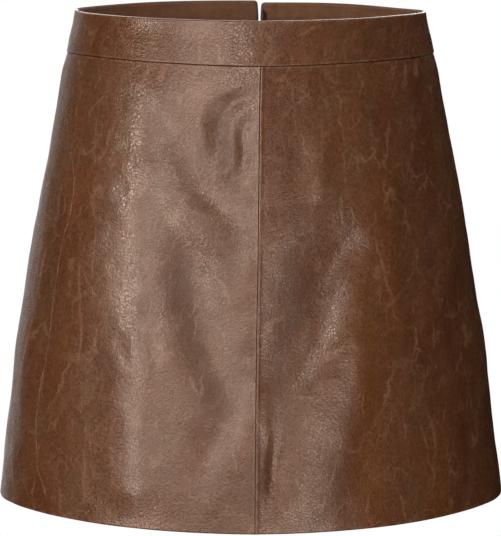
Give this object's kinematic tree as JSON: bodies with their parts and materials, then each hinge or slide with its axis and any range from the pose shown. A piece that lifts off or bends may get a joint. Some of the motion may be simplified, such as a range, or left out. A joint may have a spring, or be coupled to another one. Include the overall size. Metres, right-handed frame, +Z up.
{
  "type": "leather mini skirt",
  "caption": "Worn A-line leather mini skirt with a straight waistband, a centre front seam and a zip in the centre back seam, hollow and open at waist and hem.",
  "frame": {"origin": "middle of the waist ring, at the waistband's mid-height, where the wearer's waist holds the skirt", "axes": "+Z up out of the waist, -Y towards the skirt's front, +X towards the wearer's left"},
  "size_m": [0.4166, 0.28, 0.4048],
  "materials": {
    "leather": "brown aniline leather, pebbled grain, semi-gloss with pull-up tones",
    "facing": "matt brown facing leather",
    "zip_tape": "dark brown woven polyester",
    "zip_chain": "dark brown nylon coil",
    "zip_metal": "dark brown lacquered zinc"
  },
  "bodies": {
    "skirt": {"front_panel_right": "leather", "front_panel_left": "leather", "back_panel_left": "leather", "back_panel_right": "leather", "waistband_front": "leather", "waistband_back_left": "leather", "waistband_back_right": "leather", "facing_back_left": "facing", "facing_back_right": "facing", "zip_tape_left": "zip_tape", "zip_tape_right": "zip_tape", "zip_chain": "zip_chain", "zip_slider": "zip_metal"},
    "zip_pull": {"zip_pull_tab": "zip_metal"}
  },
  "joints": [
    {"name": "zip_pull_swing", "type": "hinge", "parent": "skirt", "child": "zip_pull", "pos_m": [0.00767, 0.10329, -0.00197], "axis": [1, 0, 0], "range_deg": [0, 165]}
  ]
}
